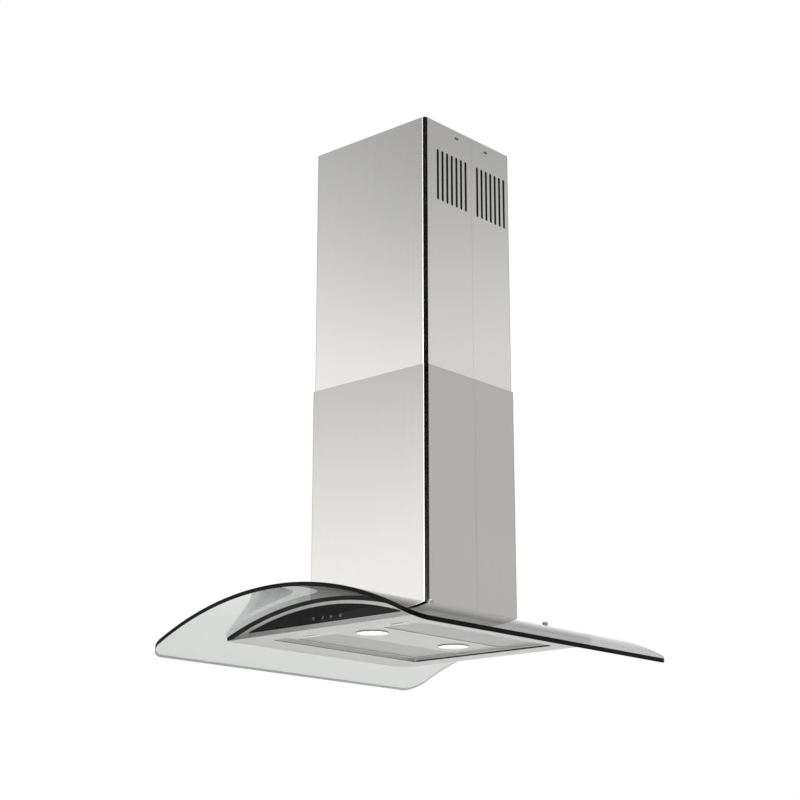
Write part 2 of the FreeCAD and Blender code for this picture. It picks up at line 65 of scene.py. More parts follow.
def add(tree, kind, settings=None, links=None):
    # one node with its settings and links; a key is a socket's name or number, or a property
    node = tree.nodes.new(kind)
    for key, value in (settings or {}).items():
        if isinstance(key, int) or key in node.inputs:
            node.inputs[key].default_value = value
        else:
            setattr(node, key, value)
    for key, source in (links or {}).items():
        for end in source if isinstance(source, list) else [source]:
            tree.links.new(end, node.inputs[key])
    return node


# finishes

def startMaterial(name, look):
    # look holds the Principled values that are the same all over the surface
    material = bpy.data.materials.new(name)
    material.use_nodes = True
    tree = material.node_tree
    shader = tree.nodes["Principled BSDF"]
    for key, value in look.items():
        shader.inputs[key].default_value = value
    return material, tree, shader


def grainFrom(tree, scale, detail):
    # a noise in the piece's own space, scale in repeats per metre along each axis
    place = add(tree, "ShaderNodeTexCoord")
    spread = add(tree, "ShaderNodeMapping", {"Scale": scale}, {"Vector": place.outputs["Object"]})
    return add(tree, "ShaderNodeTexNoise", {"Scale": 1.0, "Detail": detail, "Roughness": 0.6},
               {"Vector": spread.outputs["Vector"]})


def tint(tree, shader, factor, dark, light, low=0.3, high=0.7):
    ramp = add(tree, "ShaderNodeValToRGB", None, {"Fac": factor})
    ramp.color_ramp.elements[0].position = low
    ramp.color_ramp.elements[0].color = linear(dark)
    ramp.color_ramp.elements[1].position = high
    ramp.color_ramp.elements[1].color = linear(light)
    tree.links.new(ramp.outputs["Color"], shader.inputs["Base Color"])


def roughen(tree, shader, factor, low, high):
    spread = add(tree, "ShaderNodeMapRange",
                 {"From Min": 0.25, "From Max": 0.75, "To Min": low, "To Max": high}, {"Value": factor})
    tree.links.new(spread.outputs["Result"], shader.inputs["Roughness"])


def emboss(tree, shader, factor, depth, strength):
    bump = add(tree, "ShaderNodeBump", {"Distance": depth, "Strength": strength}, {"Height": factor})
    tree.links.new(bump.outputs["Normal"], shader.inputs["Normal"])


def stopsRamp(tree, source, stops):
    # a grey level that follows its stops: pairs of a place along the source and a level
    low, high = stops[0][0], stops[-1][0]
    share = add(tree, "ShaderNodeMapRange", {"From Min": low, "From Max": high}, {"Value": source})
    ramp = add(tree, "ShaderNodeValToRGB", None, {"Fac": share.outputs["Result"]})
    points = ramp.color_ramp.elements
    while len(points) < len(stops):
        points.new(0.5)
    for point, (place, level) in zip(points, stops):
        point.position = (place - low) / (high - low)
        point.color = (level, level, level, 1.0)
    return ramp.outputs["Color"]


def brushedSteel(name, dark, light, rough, along=(420, 420, 6), paintedLightByHeight=None):
    # brushed stainless: streaks about 2.4 mm across that break into finer lines, so the sheet has a direction
    streakDepth = 0.00002
    streakStrength = 0.01
    material, tree, shader = startMaterial(name, {"Metallic": 1.0})
    lines = grainFrom(tree, along, 4.0)
    patches = grainFrom(tree, (3.0, 3.0, 2.2), 1.0)
    blend = add(tree, "ShaderNodeMix", {"data_type": "FLOAT", "Factor": 0.6},
                {2: lines.outputs["Fac"], 3: patches.outputs["Fac"]})
    tint(tree, shader, blend.outputs[0], dark, light)
    if paintedLightByHeight:
        # the tone changes with height, by the given amounts
        # painted light and shade: the steel's colour is multiplied by a level that follows the height
        place = add(tree, "ShaderNodeTexCoord")
        here = add(tree, "ShaderNodeSeparateXYZ", None, {0: place.outputs["Object"]})
        level = stopsRamp(tree, here.outputs["Z"], paintedLightByHeight)
        colour = shader.inputs["Base Color"].links[0].from_socket
        lightAndShadePainted = add(tree, "ShaderNodeMix", {"data_type": "RGBA", "blend_type": "MULTIPLY", "Factor": 1.0},
                     {6: colour, 7: level})
        tree.links.new(lightAndShadePainted.outputs[2], shader.inputs["Base Color"])
    roughen(tree, shader, lines.outputs["Fac"], rough - 0.01, rough + 0.015)
    emboss(tree, shader, lines.outputs["Fac"], streakDepth, streakStrength)
    return material


def speckled(name, look, dark, light, size, rough, depth=0.00005, strength=0.25):
    # a moulded, painted or cast surface: size is the grain in millimetres
    material, tree, shader = startMaterial(name, look)
    repeats = 1.0 / (size * mm)
    grain = grainFrom(tree, (repeats, repeats, repeats), 2.0)
    tint(tree, shader, grain.outputs["Fac"], dark, light)
    roughen(tree, shader, grain.outputs["Fac"], rough[0], rough[1])
    emboss(tree, shader, grain.outputs["Fac"], depth, strength)
    return material


def zincSheet(name):
    # hot-dip zinc on sheet steel: crystals about 9 mm across give a patchy grey
    material, tree, shader = startMaterial(name, {"Metallic": 1.0})
    place = add(tree, "ShaderNodeTexCoord")
    spangle = add(tree, "ShaderNodeTexVoronoi", {"Scale": 110.0}, {"Vector": place.outputs["Object"]})
    shade = add(tree, "ShaderNodeSeparateXYZ", None, {"Vector": spangle.outputs["Color"]})
    tint(tree, shader, shade.outputs["X"], "#9a9da0", "#b9bcbe", 0.0, 1.0)
    roughen(tree, shader, shade.outputs["Y"], 0.34, 0.48)
    return material


# pairs of a height and the share of the finish's brightness there
# painted shade and light: the lower cover darker towards its top, the body darker towards its bottom edge,
# the underside frame darker along its edge and brighter above it
lowerCoverPaintedShade = [(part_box("lower_cover_front")[0].z + 120 * mm, 1.0), (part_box("lower_cover_front")[1].z, 0.86)]
bodyLipPaintedShade = [(underside + 6 * mm, 0.56), (underside + 22 * mm, 1.0)]
framePaintedShadeAndLight = [(underside, 1.0), (underside + 0.1 * mm, 1.0), (underside + 0.2 * mm, 0.6),
             (underside + 1.4 * mm, 0.6), (underside + 1.6 * mm, 1.35), (underside + 12 * mm, 1.35)]
coverSteelUpper = brushedSteel("stainlessCoverUpper", "#ebeae7", "#efeeec", 0.13)
# painted shade: the lower cover takes a darker copy of the upper cover's steel
coverSteelLowerShaded = brushedSteel("stainlessCoverShadedLower", "#d2d0cd", "#d7d5d2", 0.13, paintedLightByHeight=lowerCoverPaintedShade)
bodySteel = brushedSteel("stainlessBody", "#b6b5b3", "#bbbab8", 0.26, (6, 420, 420), bodyLipPaintedShade)
undersideSteel = brushedSteel("stainlessUnderside", "#aeaeae", "#b4b4b4", 0.34, (420, 6, 420), framePaintedShadeAndLight)
lampSteel = brushedSteel("stainlessLampPanel", "#b2b2b2", "#b8b8b8", 0.34, (420, 6, 420))
# turned bright steel: smooth grey with a soft highlight
turnedSteel = speckled("brightTurnedSteel", {"Metallic": 1.0}, "#b9b9b9", "#c8c8c8", 1.2, (0.22, 0.32),
                       0.00001)
# drawn spring wire: darker and duller than the turned pieces
springSteel = speckled("springWire", {"Metallic": 1.0}, "#8f9092", "#a6a7a9", 0.8, (0.3, 0.4), 0.00001)
# bright chrome: mirror gloss, nearly white
chromePlate = speckled("chromePlate", {"Metallic": 1.0}, "#e9eaeb", "#f3f4f5", 6.0, (0.06, 0.11),
                       0.000005, 0.1)
# satin chrome: a blurred highlight on mid grey
satinChrome = speckled("satinChrome", {"Metallic": 1.0}, "#a9aaab", "#b9babb", 4.0, (0.3, 0.38),
                       0.000005, 0.1)
# pressed aluminium frame: even satin grey
filterAluminium = speckled("filterAluminium", {"Metallic": 1.0}, "#bdbebf", "#c5c6c7", 2.0, (0.34, 0.46),
                           0.00002)
# expanded aluminium sheet: brighter than its frame, so the diamonds catch the light
meshAluminium = speckled("expandedAluminium", {"Metallic": 1.0}, "#d2d3d3", "#dadada", 1.5, (0.36, 0.46),
                         0.00001)
# knitted aluminium pad: scatters the light evenly, so it has no metal sheen
padAluminium = speckled("knittedAluminium", {"IOR": 1.5}, "#ced0d0", "#d8d8d8", 1.2, (0.4, 0.55), 0.0001)
# painted shade: a dull black sheet with a fine grain, standing in for the shade inside the cover behind the
# slots
ventShadeBlack = speckled("ventShadeBlack", {"IOR": 1.4, "Specular IOR Level": 0.2, "Sheen Weight": 0.1},
                     "#0a0a0a", "#141414", 0.7, (0.9, 1.0), 0.0002)
zinc = zincSheet("zincPlatedSheet")
# toughened float glass over black enamel: mirror gloss on near black
enamelGlass = speckled("blackEnamelGlass", {"IOR": 1.52, "Specular IOR Level": 0.16},
                       "#08090a", "#0c0d0e", 14.0, (0.05, 0.08), 0.000004, 0.1)
# EPDM rubber: dead matt black with a faint grain
rubber = speckled("blackRubber", {"IOR": 1.5}, "#0c0c0c", "#161616", 0.9, (0.7, 0.85))
# silicone: milky grey with a waxy surface
silicone = speckled("greySilicone", {"IOR": 1.43}, "#b6b8b6", "#c4c6c4", 1.1, (0.5, 0.65))
# polypropylene and ABS mouldings: satin with a fine spark grain
whitePlastic = speckled("whiteAbs", {"IOR": 1.46}, "#dad9d4", "#e4e3de", 1.0, (0.42, 0.55))
greyPlastic = speckled("greyAbs", {"IOR": 1.46}, "#56585a", "#626466", 1.0, (0.42, 0.55))
blackPlastic = speckled("blackPolypropylene", {"IOR": 1.46}, "#131313", "#1d1d1d", 1.0, (0.45, 0.6))
latchPlastic = speckled("satinGreyAbs", {"IOR": 1.46}, "#c3c4c5", "#cdcecf", 1.2, (0.38, 0.5))
# sprayed machine enamel: slight orange peel
motorPaint = speckled("motorEnamel", {"IOR": 1.5}, "#3b3e41", "#474a4d", 3.0, (0.3, 0.42), 0.00008)
# solder mask over glass fibre: glossy green with a weave just visible
boardMask = speckled("solderMaskGreen", {"IOR": 1.5}, "#0f4a2a", "#1a6038", 1.6, (0.25, 0.4))
# screen-printed ink: pale grey, matt, thick enough to stand off the glass
printedInk = speckled("screenPrintedInk", {"IOR": 1.48}, "#8e9396", "#9ca1a4", 0.8, (0.5, 0.6))
# prismatic moulded lens, milky so that it hides the lamp behind it
lensLook = {
    "IOR": 1.49, "Transmission Weight": 0.1,
    "Emission Color": (1.0, 1.0, 0.98, 1.0), "Emission Strength": 0.18,
}
lensPlastic = speckled("milkyAcrylic", lensLook, "#dfe0de", "#ebecea", 2.0, (0.2, 0.3))


def clearSheetGlass(name):
    # 8 mm toughened soda-lime glass: iron gives it a faint green-grey, tempering a very slight ripple
    material, tree, shader = startMaterial(name, {"IOR": 1.5, "Transmission Weight": 1.0, "Roughness": 0.0})
    ripple = grainFrom(tree, (9.0, 9.0, 9.0), 1.0)
    tint(tree, shader, ripple.outputs["Fac"], "#c0c3c1", "#c4c7c5")
    emboss(tree, shader, ripple.outputs["Fac"], 0.00004, 0.1)
    return material


def polishedEdge(name, dark, light, gloss, rough, glow):
    # the ground rim of the sheet, with the fine marks of the wheel along it
    # glow stands in for light carried along inside the glass
    material, tree, shader = startMaterial(name, {
        "IOR": 1.5, "Specular IOR Level": gloss,
        "Emission Color": linear("#c6cac8"), "Emission Strength": glow,
    })
    wheel = grainFrom(tree, (160, 160, 900), 2.0)
    tint(tree, shader, wheel.outputs["Fac"], dark, light)
    roughen(tree, shader, wheel.outputs["Fac"], rough, rough + 0.1)
    return material


sheetGlass = clearSheetGlass("toughenedGlass")
# painted shade: the rim is near black on the two sides that face the viewer, and left matt and pale on the
# others
shadedRim = polishedEdge("paintedShadeRimBlack", "#060708", "#0b0d0d", 0.08, 0.25, 0.0)
paleRim = polishedEdge("groundRim", "#b4b9b7", "#bfc4c2", 0.5, 0.5, 0.3)
print("finishes ready:", len(bpy.data.materials))

finishOf = {
    "upper_cover_front": coverSteelUpper, "upper_cover_rear": coverSteelUpper,
    "lower_cover_front": coverSteelLowerShaded, "lower_cover_rear": coverSteelLowerShaded,
    "hood_body": bodySteel, "underside_frame": undersideSteel, "lamp_panel": lampSteel,
    "touch_panel": enamelGlass, "touch_board": boardMask, "motor": motorPaint,
    "lamp_bezel_front": chromePlate, "lamp_bezel_rear": chromePlate,
    "lamp_housing_front": whitePlastic, "lamp_housing_rear": whitePlastic,
}
bySlot = {
    "zinc_steel": zinc, "bright_steel": turnedSteel, "stainless": coverSteelUpper,
    "white_plastic": whitePlastic, "grey_plastic": greyPlastic, "black_plastic": blackPlastic,
    "motor_paint": motorPaint, "black_rubber": rubber, "grey_silicone": silicone,
    "chrome": chromePlate, "filter_aluminium": filterAluminium, "latch_plastic": latchPlastic,
    "spring_steel": springSteel, "black_glass": enamelGlass, "clear_glass": sheetGlass,
    "lens_glass": lensPlastic, "board_green": boardMask,
}
slotOf = {part["node"]: part["material_slot"] for part in frame["record"]["subparts"]}
for name, node in nodes.items():
    finish = finishOf.get(name, bySlot[slotOf[name]])
    node.data.materials.clear()
    node.data.materials.append(finish)


# geometry node helpers

def newTree(name, sizes):
    # sizes: input name -> default; whole numbers make integer inputs
    tree = bpy.data.node_groups.new(name, "GeometryNodeTree")
    tree.interface.new_socket("Geometry", in_out="OUTPUT", socket_type="NodeSocketGeometry")
    for label, value in sizes.items():
        kind = "NodeSocketInt" if isinstance(value, int) else "NodeSocketFloat"
        tree.interface.new_socket(label, in_out="INPUT", socket_type=kind).default_value = value
    return tree, add(tree, "NodeGroupInput").outputs


def calc(tree, operation, *values):
    # a Math node on sockets or numbers
    node = add(tree, "ShaderNodeMath", {"operation": operation})
    for i, value in enumerate(values):
        if isinstance(value, (int, float)):
            node.inputs[i].default_value = value
        else:
            tree.links.new(value, node.inputs[i])
    return node.outputs[0]


def vector(tree, x=0.0, y=0.0, z=0.0):
    node = add(tree, "ShaderNodeCombineXYZ")
    for i, value in enumerate((x, y, z)):
        if isinstance(value, (int, float)):
            node.inputs[i].default_value = value
        else:
            tree.links.new(value, node.inputs[i])
    return node.outputs[0]


def closeTree(tree, geometry, material):
    real = add(tree, "GeometryNodeRealizeInstances", None, {"Geometry": geometry})
    painted = add(tree, "GeometryNodeSetMaterial", {"Material": material}, {"Geometry": real.outputs[0]})
    add(tree, "NodeGroupOutput", None, {"Geometry": painted.outputs[0]})
    return painted


def growPiece(name, tree, sizes, body, stands, smooth=30):
    # runs a tree once and keeps its result as a plain mesh
    holder = bpy.data.objects.new(name + "Grower", bpy.data.meshes.new(name + "Grower"))
    modifier = holder.modifiers.new(name, "NODES")
    modifier.node_group = tree
    for item in tree.interface.items_tree:
        if item.in_out == "INPUT" and item.name in sizes:
            modifier[item.identifier] = sizes[item.name]
    bpy.context.scene.collection.objects.link(holder)
    bpy.context.view_layer.update()
    grown = bpy.data.meshes.new_from_object(holder.evaluated_get(bpy.context.evaluated_depsgraph_get()))
    holder.modifiers.remove(modifier)
    bpy.data.objects.remove(holder)
    grown.name = name
    grown.shade_smooth()
    grown.set_sharp_from_angle(angle=math.radians(smooth))
    piece = bpy.data.objects.new(name, grown)
    bpy.context.scene.collection.objects.link(piece)
    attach(piece, body)
    if stands:
        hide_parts(*stands)
    print("grown:", name, len(grown.polygons), "faces")
    return piece


def raised(tree, flat, height, base):
    # closes a flat face into a slab from base up to base + height
    top = add(tree, "GeometryNodeExtrudeMesh", {"Individual": False},
              {"Mesh": flat, "Offset": vector(tree, 0, 0, height)})
    under = add(tree, "GeometryNodeFlipFaces", None, {"Mesh": flat})
    both = add(tree, "GeometryNodeJoinGeometry", None, {"Geometry": [top.outputs["Mesh"], under.outputs[0]]})
    shut = add(tree, "GeometryNodeMergeByDistance", {"Distance": 0.00001}, {"Geometry": both.outputs[0]})
    return add(tree, "GeometryNodeSetPosition", None,
               {"Geometry": shut.outputs[0], "Offset": vector(tree, 0, 0, base)}).outputs[0]


def roundedPlate(tree, width, depth, radius, height, base):
    frameCurve = add(tree, "GeometryNodeCurvePrimitiveQuadrilateral", None, {"Width": width, "Height": depth})
    rounded = add(tree, "GeometryNodeFilletCurve", {"mode": "POLY", "Count": 12},
                  {"Curve": frameCurve.outputs[0], "Radius": radius})
    filled = add(tree, "GeometryNodeFillCurve", {"mode": "NGONS"}, {"Curve": rounded.outputs[0]})
    return raised(tree, filled.outputs[0], height, base)


# glass canopy: a flat outline dropped on a round arch

glassLow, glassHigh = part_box("glass_canopy")
canopySizes = {
    "Half width": glassHigh.x, "Half depth": glassHigh.y, "Corner": 40 * mm, "Thickness": 8 * mm,
    "Arch radius": 735 * mm, "Crown": glassHigh.z,
    "Throat half width": 152 * mm, "Throat half depth": 136 * mm, "Throat corner": 12 * mm,
    "Fixing x": 200 * mm, "Fixing y": 180 * mm, "Fixing hole": 3.5 * mm,
}


def archHeight(tree, x, radius, crown, less):
    # height of the arch at x, for its top face or a face that lies less below it
    inner = calc(tree, "SUBTRACT", radius, less)
    square = calc(tree, "SUBTRACT", calc(tree, "MULTIPLY", inner, inner), calc(tree, "MULTIPLY", x, x))
    return calc(tree, "ADD", calc(tree, "SUBTRACT", crown, radius), calc(tree, "SQRT", square))


def fixingPoints(tree, size):
    # four points on the glass with a rotation that stands them square to it
    spots = add(tree, "GeometryNodeMeshGrid", {"Vertices X": 2, "Vertices Y": 2},
                {"Size X": calc(tree, "MULTIPLY", size["Fixing x"], 2.0),
                 "Size Y": calc(tree, "MULTIPLY", size["Fixing y"], 2.0)})
    here = add(tree, "ShaderNodeSeparateXYZ", None, {0: add(tree, "GeometryNodeInputPosition").outputs[0]})
    height = archHeight(tree, here.outputs["X"], size["Arch radius"], size["Crown"], 0.0)
    placed = add(tree, "GeometryNodeSetPosition", None,
                 {"Geometry": spots.outputs["Mesh"],
                  "Position": vector(tree, here.outputs["X"], here.outputs["Y"], height)})
    again = add(tree, "ShaderNodeSeparateXYZ", None, {0: add(tree, "GeometryNodeInputPosition").outputs[0]})
    axisZ = calc(tree, "SUBTRACT", size["Crown"], size["Arch radius"])
    outward = vector(tree, again.outputs["X"], 0.0, calc(tree, "SUBTRACT", again.outputs["Z"], axisZ))
    turn = add(tree, "FunctionNodeAlignRotationToVector", {"axis": "Z"}, {"Vector": outward})
    return placed.outputs[0], turn.outputs[0]


def canopyTree():
    tree, size = newTree("canopyGlass", canopySizes)
    spare = 0.02  # how much wider than the outline the bent sheet starts
    cutterBase = -1.5  # the cutters reach from here up, well past the sheet
    drillLength = 0.05
    rimLimit = 0.6  # faces turned further than this from the arch's radius are rim
    outerReach = 0.3  # the outline lies past this, the throat inside it
    frontFacing = 0.25
    sheet = add(tree, "GeometryNodeMeshGrid", {"Vertices X": 145, "Vertices Y": 3},
                {"Size X": calc(tree, "MULTIPLY_ADD", size["Half width"], 2.0, spare),
                 "Size Y": calc(tree, "MULTIPLY_ADD", size["Half depth"], 2.0, spare)})
    flat = raised(tree, sheet.outputs["Mesh"], 1.0, 0.0)
    here = add(tree, "ShaderNodeSeparateXYZ", None, {0: add(tree, "GeometryNodeInputPosition").outputs[0]})
    top = archHeight(tree, here.outputs["X"], size["Arch radius"], size["Crown"], 0.0)
    under = archHeight(tree, here.outputs["X"], size["Arch radius"], size["Crown"], size["Thickness"])
    rise = calc(tree, "MULTIPLY", calc(tree, "SUBTRACT", top, under), here.outputs["Z"])
    bent = add(tree, "GeometryNodeSetPosition", None,
               {"Geometry": flat, "Position": vector(tree, here.outputs["X"], here.outputs["Y"],
                                                     calc(tree, "ADD", under, rise))})
    outline = roundedPlate(tree, calc(tree, "MULTIPLY", size["Half width"], 2.0),
                           calc(tree, "MULTIPLY", size["Half depth"], 2.0), size["Corner"], 1.0, cutterBase)
    throat = roundedPlate(tree, calc(tree, "MULTIPLY", size["Throat half width"], 2.0),
                          calc(tree, "MULTIPLY", size["Throat half depth"], 2.0),
                          size["Throat corner"], 1.0, cutterBase)
    cut = add(tree, "GeometryNodeMeshBoolean", {"operation": "INTERSECT", "solver": "EXACT"},
              {"Mesh 2": [bent.outputs[0], outline]})
    drill = add(tree, "GeometryNodeMeshCylinder", {"Vertices": 20, "Depth": drillLength},
                {"Radius": size["Fixing hole"]})
    points, turn = fixingPoints(tree, size)
    drills = add(tree, "GeometryNodeInstanceOnPoints", None,
                 {"Points": points, "Instance": drill.outputs["Mesh"], "Rotation": turn})
    holes = add(tree, "GeometryNodeRealizeInstances", None, {"Geometry": drills.outputs[0]})
    opened = add(tree, "GeometryNodeMeshBoolean", {"operation": "DIFFERENCE", "solver": "EXACT"},
                 {"Mesh 1": cut.outputs["Mesh"], "Mesh 2": [throat, holes.outputs[0]]})
    painted = add(tree, "GeometryNodeSetMaterial", {"Material": sheetGlass},
                  {"Geometry": opened.outputs["Mesh"]})
    # rim faces are those that don't face along the arch's radius
    spot = add(tree, "ShaderNodeSeparateXYZ", None, {0: add(tree, "GeometryNodeInputPosition").outputs[0]})
    axisZ = calc(tree, "SUBTRACT", size["Crown"], size["Arch radius"])
    radial = add(tree, "ShaderNodeVectorMath", {"operation": "NORMALIZE"},
                 {0: vector(tree, spot.outputs["X"], 0.0, calc(tree, "SUBTRACT", spot.outputs["Z"], axisZ))})
    normal = add(tree, "GeometryNodeInputNormal")
    along = add(tree, "ShaderNodeVectorMath", {"operation": "DOT_PRODUCT"},
                {0: radial.outputs[0], 1: normal.outputs[0]})
    isRim = calc(tree, "LESS_THAN", calc(tree, "ABSOLUTE", along.outputs["Value"]), rimLimit)
    rimmed = add(tree, "GeometryNodeSetMaterial", {"Material": paleRim},
                 {"Geometry": painted.outputs[0], "Selection": isRim})
    # painted shade: rim faces on the outline that turn towards the viewer take the near-black rim
    face = add(tree, "ShaderNodeSeparateXYZ", None, {0: normal.outputs[0]})
    toFront = calc(tree, "SUBTRACT", face.outputs["X"], face.outputs["Y"])
    farX = calc(tree, "GREATER_THAN", calc(tree, "ABSOLUTE", spot.outputs["X"]), outerReach)
    farY = calc(tree, "GREATER_THAN", calc(tree, "ABSOLUTE", spot.outputs["Y"]), outerReach)
    outer = calc(tree, "MAXIMUM", farX, farY)
    isShadedRim = calc(tree, "MULTIPLY", calc(tree, "MULTIPLY", isRim, outer),
                  calc(tree, "GREATER_THAN", toFront, frontFacing))
    rimShaded = add(tree, "GeometryNodeSetMaterial", {"Material": shadedRim},
                   {"Geometry": rimmed.outputs[0], "Selection": isShadedRim})
    add(tree, "NodeGroupOutput", None, {"Geometry": rimShaded.outputs[0]})
    return tree


growPiece("canopyGlass", canopyTree(), canopySizes, "hood", ["glass_canopy"])


# domed cap nuts on the four fixings

capSizes = {
    "Fixing x": 200 * mm, "Fixing y": 180 * mm, "Arch radius": 735 * mm, "Crown": glassHigh.z,
    "Washer radius": 6.5 * mm, "Washer height": 1.4 * mm, "Dome radius": 5.3 * mm, "Dome height": 5.0 * mm,
}


def capTree():
    tree, size = newTree("capNuts", capSizes)
    washer = add(tree, "GeometryNodeMeshCylinder", {"Vertices": 40},
                 {"Radius": size["Washer radius"], "Depth": size["Washer height"]})
    washerUp = add(tree, "GeometryNodeTransform", None,
                   {"Geometry": washer.outputs["Mesh"],
                    "Translation": vector(tree, 0, 0, calc(tree, "MULTIPLY", size["Washer height"], 0.5))})
    post = add(tree, "GeometryNodeMeshCylinder",
               {"Vertices": 40, "Side Segments": 9, "Radius": 1.0, "Depth": 1.0, "fill_type": "NGON"})
    here = add(tree, "ShaderNodeSeparateXYZ", None, {0: add(tree, "GeometryNodeInputPosition").outputs[0]})
    share = calc(tree, "ADD", here.outputs["Z"], 0.5)
    bend = calc(tree, "MULTIPLY", share, math.pi / 2 * 0.96)
    reach = calc(tree, "MULTIPLY", calc(tree, "COSINE", bend), size["Dome radius"])
    height = calc(tree, "MULTIPLY_ADD", calc(tree, "SINE", bend), size["Dome height"], size["Washer height"])
    dome = add(tree, "GeometryNodeSetPosition", None,
               {"Geometry": post.outputs["Mesh"],
                "Position": vector(tree, calc(tree, "MULTIPLY", here.outputs["X"], reach),
                                   calc(tree, "MULTIPLY", here.outputs["Y"], reach), height)})
    cap = add(tree, "GeometryNodeJoinGeometry", None, {"Geometry": [washerUp.outputs[0], dome.outputs[0]]})
    points, turn = fixingPoints(tree, size)
    caps = add(tree, "GeometryNodeInstanceOnPoints", None,
               {"Points": points, "Instance": cap.outputs[0], "Rotation": turn})
    closeTree(tree, caps.outputs[0], satinChrome)
    return tree


growPiece("capNuts", capTree(), capSizes, "hood", ["cap_nuts"], 40)


# expanded mesh in the grease filters: rows of zigzag strands that touch at their peaks

def meshSizes(side):
    low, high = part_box("filter_mesh_" + side)
    return {
        "Left": low.x, "Right": high.x, "Front": low.y, "Rear": high.y, "Bottom": low.z, "Top": high.z,
        "Diamond length": 7.2 * mm, "Diamond width": 3.6 * mm, "Strand": 0.9 * mm, "Sheet": 0.3 * mm,
    }


def strandLayer(tree, size, height, shift):
    # one expanded sheet at a height above the bottom face
    width = calc(tree, "SUBTRACT", size["Right"], size["Left"])
    depth = calc(tree, "SUBTRACT", size["Rear"], size["Front"])
    step = calc(tree, "MULTIPLY", size["Diamond length"], 0.5)
    count = calc(tree, "ADD", calc(tree, "CEIL", calc(tree, "DIVIDE", width, step)), 3.0)
    line = add(tree, "GeometryNodeMeshLine", {"mode": "OFFSET"},
               {"Count": count, "Offset": vector(tree, step)})
    index = add(tree, "GeometryNodeInputIndex")
    peak = calc(tree, "MULTIPLY", calc(tree, "SUBTRACT", calc(tree, "MODULO", index.outputs[0], 2.0), 0.5),
                calc(tree, "MULTIPLY", size["Diamond width"], 0.5))
    zigzag = add(tree, "GeometryNodeSetPosition", None,
                 {"Geometry": line.outputs[0], "Offset": vector(tree, 0.0, peak, 0.0)})
    path = add(tree, "GeometryNodeMeshToCurve", None, {"Mesh": zigzag.outputs[0]})
    section = add(tree, "GeometryNodeCurvePrimitiveQuadrilateral", None,
                  {"Width": size["Strand"], "Height": size["Sheet"]})
    strand = add(tree, "GeometryNodeCurveToMesh", {"Fill Caps": True},
                 {"Curve": path.outputs[0], "Profile Curve": section.outputs[0]})
    pitch = calc(tree, "MULTIPLY", size["Diamond width"], 0.5)
    rows = calc(tree, "SUBTRACT", calc(tree, "FLOOR", calc(tree, "DIVIDE", depth, pitch)), 1.0)
    spots = add(tree, "GeometryNodeMeshLine", {"mode": "OFFSET"},
                {"Count": rows, "Offset": vector(tree, 0.0, pitch, 0.0),
                 "Start Location": vector(tree, calc(tree, "SUBTRACT", size["Left"],
                                                     calc(tree, "MULTIPLY", step, shift)),
                                          calc(tree, "ADD", size["Front"], pitch),
                                          calc(tree, "ADD", size["Bottom"], height))})
    row = add(tree, "GeometryNodeInputIndex")
    slide = calc(tree, "MULTIPLY", calc(tree, "MODULO", row.outputs[0], 2.0),
                 calc(tree, "MULTIPLY", step, -1.0))
    placed = add(tree, "GeometryNodeSetPosition", None,
                 {"Geometry": spots.outputs[0], "Offset": vector(tree, slide, 0.0, 0.0)})
    sheet = add(tree, "GeometryNodeInstanceOnPoints", None,
                {"Points": placed.outputs[0], "Instance": strand.outputs[0]})
    real = add(tree, "GeometryNodeRealizeInstances", None, {"Geometry": sheet.outputs[0]})
    here = add(tree, "ShaderNodeSeparateXYZ", None, {0: add(tree, "GeometryNodeInputPosition").outputs[0]})
    kept = calc(tree, "MINIMUM", calc(tree, "MAXIMUM", here.outputs["X"], size["Left"]), size["Right"])
    return add(tree, "GeometryNodeSetPosition", None,
               {"Geometry": real.outputs[0],
                "Position": vector(tree, kept, here.outputs["Y"], here.outputs["Z"])}).outputs[0]


def filterTree(name, sizes):
    tree, size = newTree(name, sizes)
    outer = strandLayer(tree, size, calc(tree, "MULTIPLY", size["Sheet"], 0.5), 0.5)
    # a pleated pad of finer mesh fills the rest of the frame
    fold = 1257.0  # radians per metre, so a fold about every 5 mm
    foldHeight = 0.0001
    padLift = 0.0004
    padSlack = 0.0012
    pad = add(tree, "GeometryNodeMeshGrid", {"Vertices X": 47, "Vertices Y": 3},
              {"Size X": calc(tree, "SUBTRACT", size["Right"], size["Left"]),
               "Size Y": calc(tree, "SUBTRACT", size["Rear"], size["Front"])})
    thick = raised(tree, pad.outputs["Mesh"], 1.0, 0.0)
    here = add(tree, "ShaderNodeSeparateXYZ", None, {0: add(tree, "GeometryNodeInputPosition").outputs[0]})
    midX = calc(tree, "MULTIPLY", calc(tree, "ADD", size["Left"], size["Right"]), 0.5)
    midY = calc(tree, "MULTIPLY", calc(tree, "ADD", size["Front"], size["Rear"]), 0.5)
    wave = calc(tree, "MULTIPLY", calc(tree, "SINE", calc(tree, "MULTIPLY", here.outputs["X"], fold)),
                foldHeight)
    floorZ = calc(tree, "ADD", calc(tree, "ADD", size["Bottom"], padLift), wave)
    tall = calc(tree, "SUBTRACT", calc(tree, "SUBTRACT", size["Top"], size["Bottom"]), padSlack)
    folded = add(tree, "GeometryNodeSetPosition", None,
                 {"Geometry": thick,
                  "Position": vector(tree, calc(tree, "ADD", here.outputs["X"], midX),
                                     calc(tree, "ADD", here.outputs["Y"], midY),
                                     calc(tree, "MULTIPLY_ADD", here.outputs["Z"], tall, floorZ))})
    pack = add(tree, "GeometryNodeSetMaterial", {"Material": padAluminium}, {"Geometry": folded.outputs[0]})
    bright = add(tree, "GeometryNodeSetMaterial", {"Material": meshAluminium}, {"Geometry": outer})
    both = add(tree, "GeometryNodeJoinGeometry", None, {"Geometry": [bright.outputs[0], pack.outputs[0]]})
    add(tree, "NodeGroupOutput", None, {"Geometry": both.outputs[0]})
    return tree


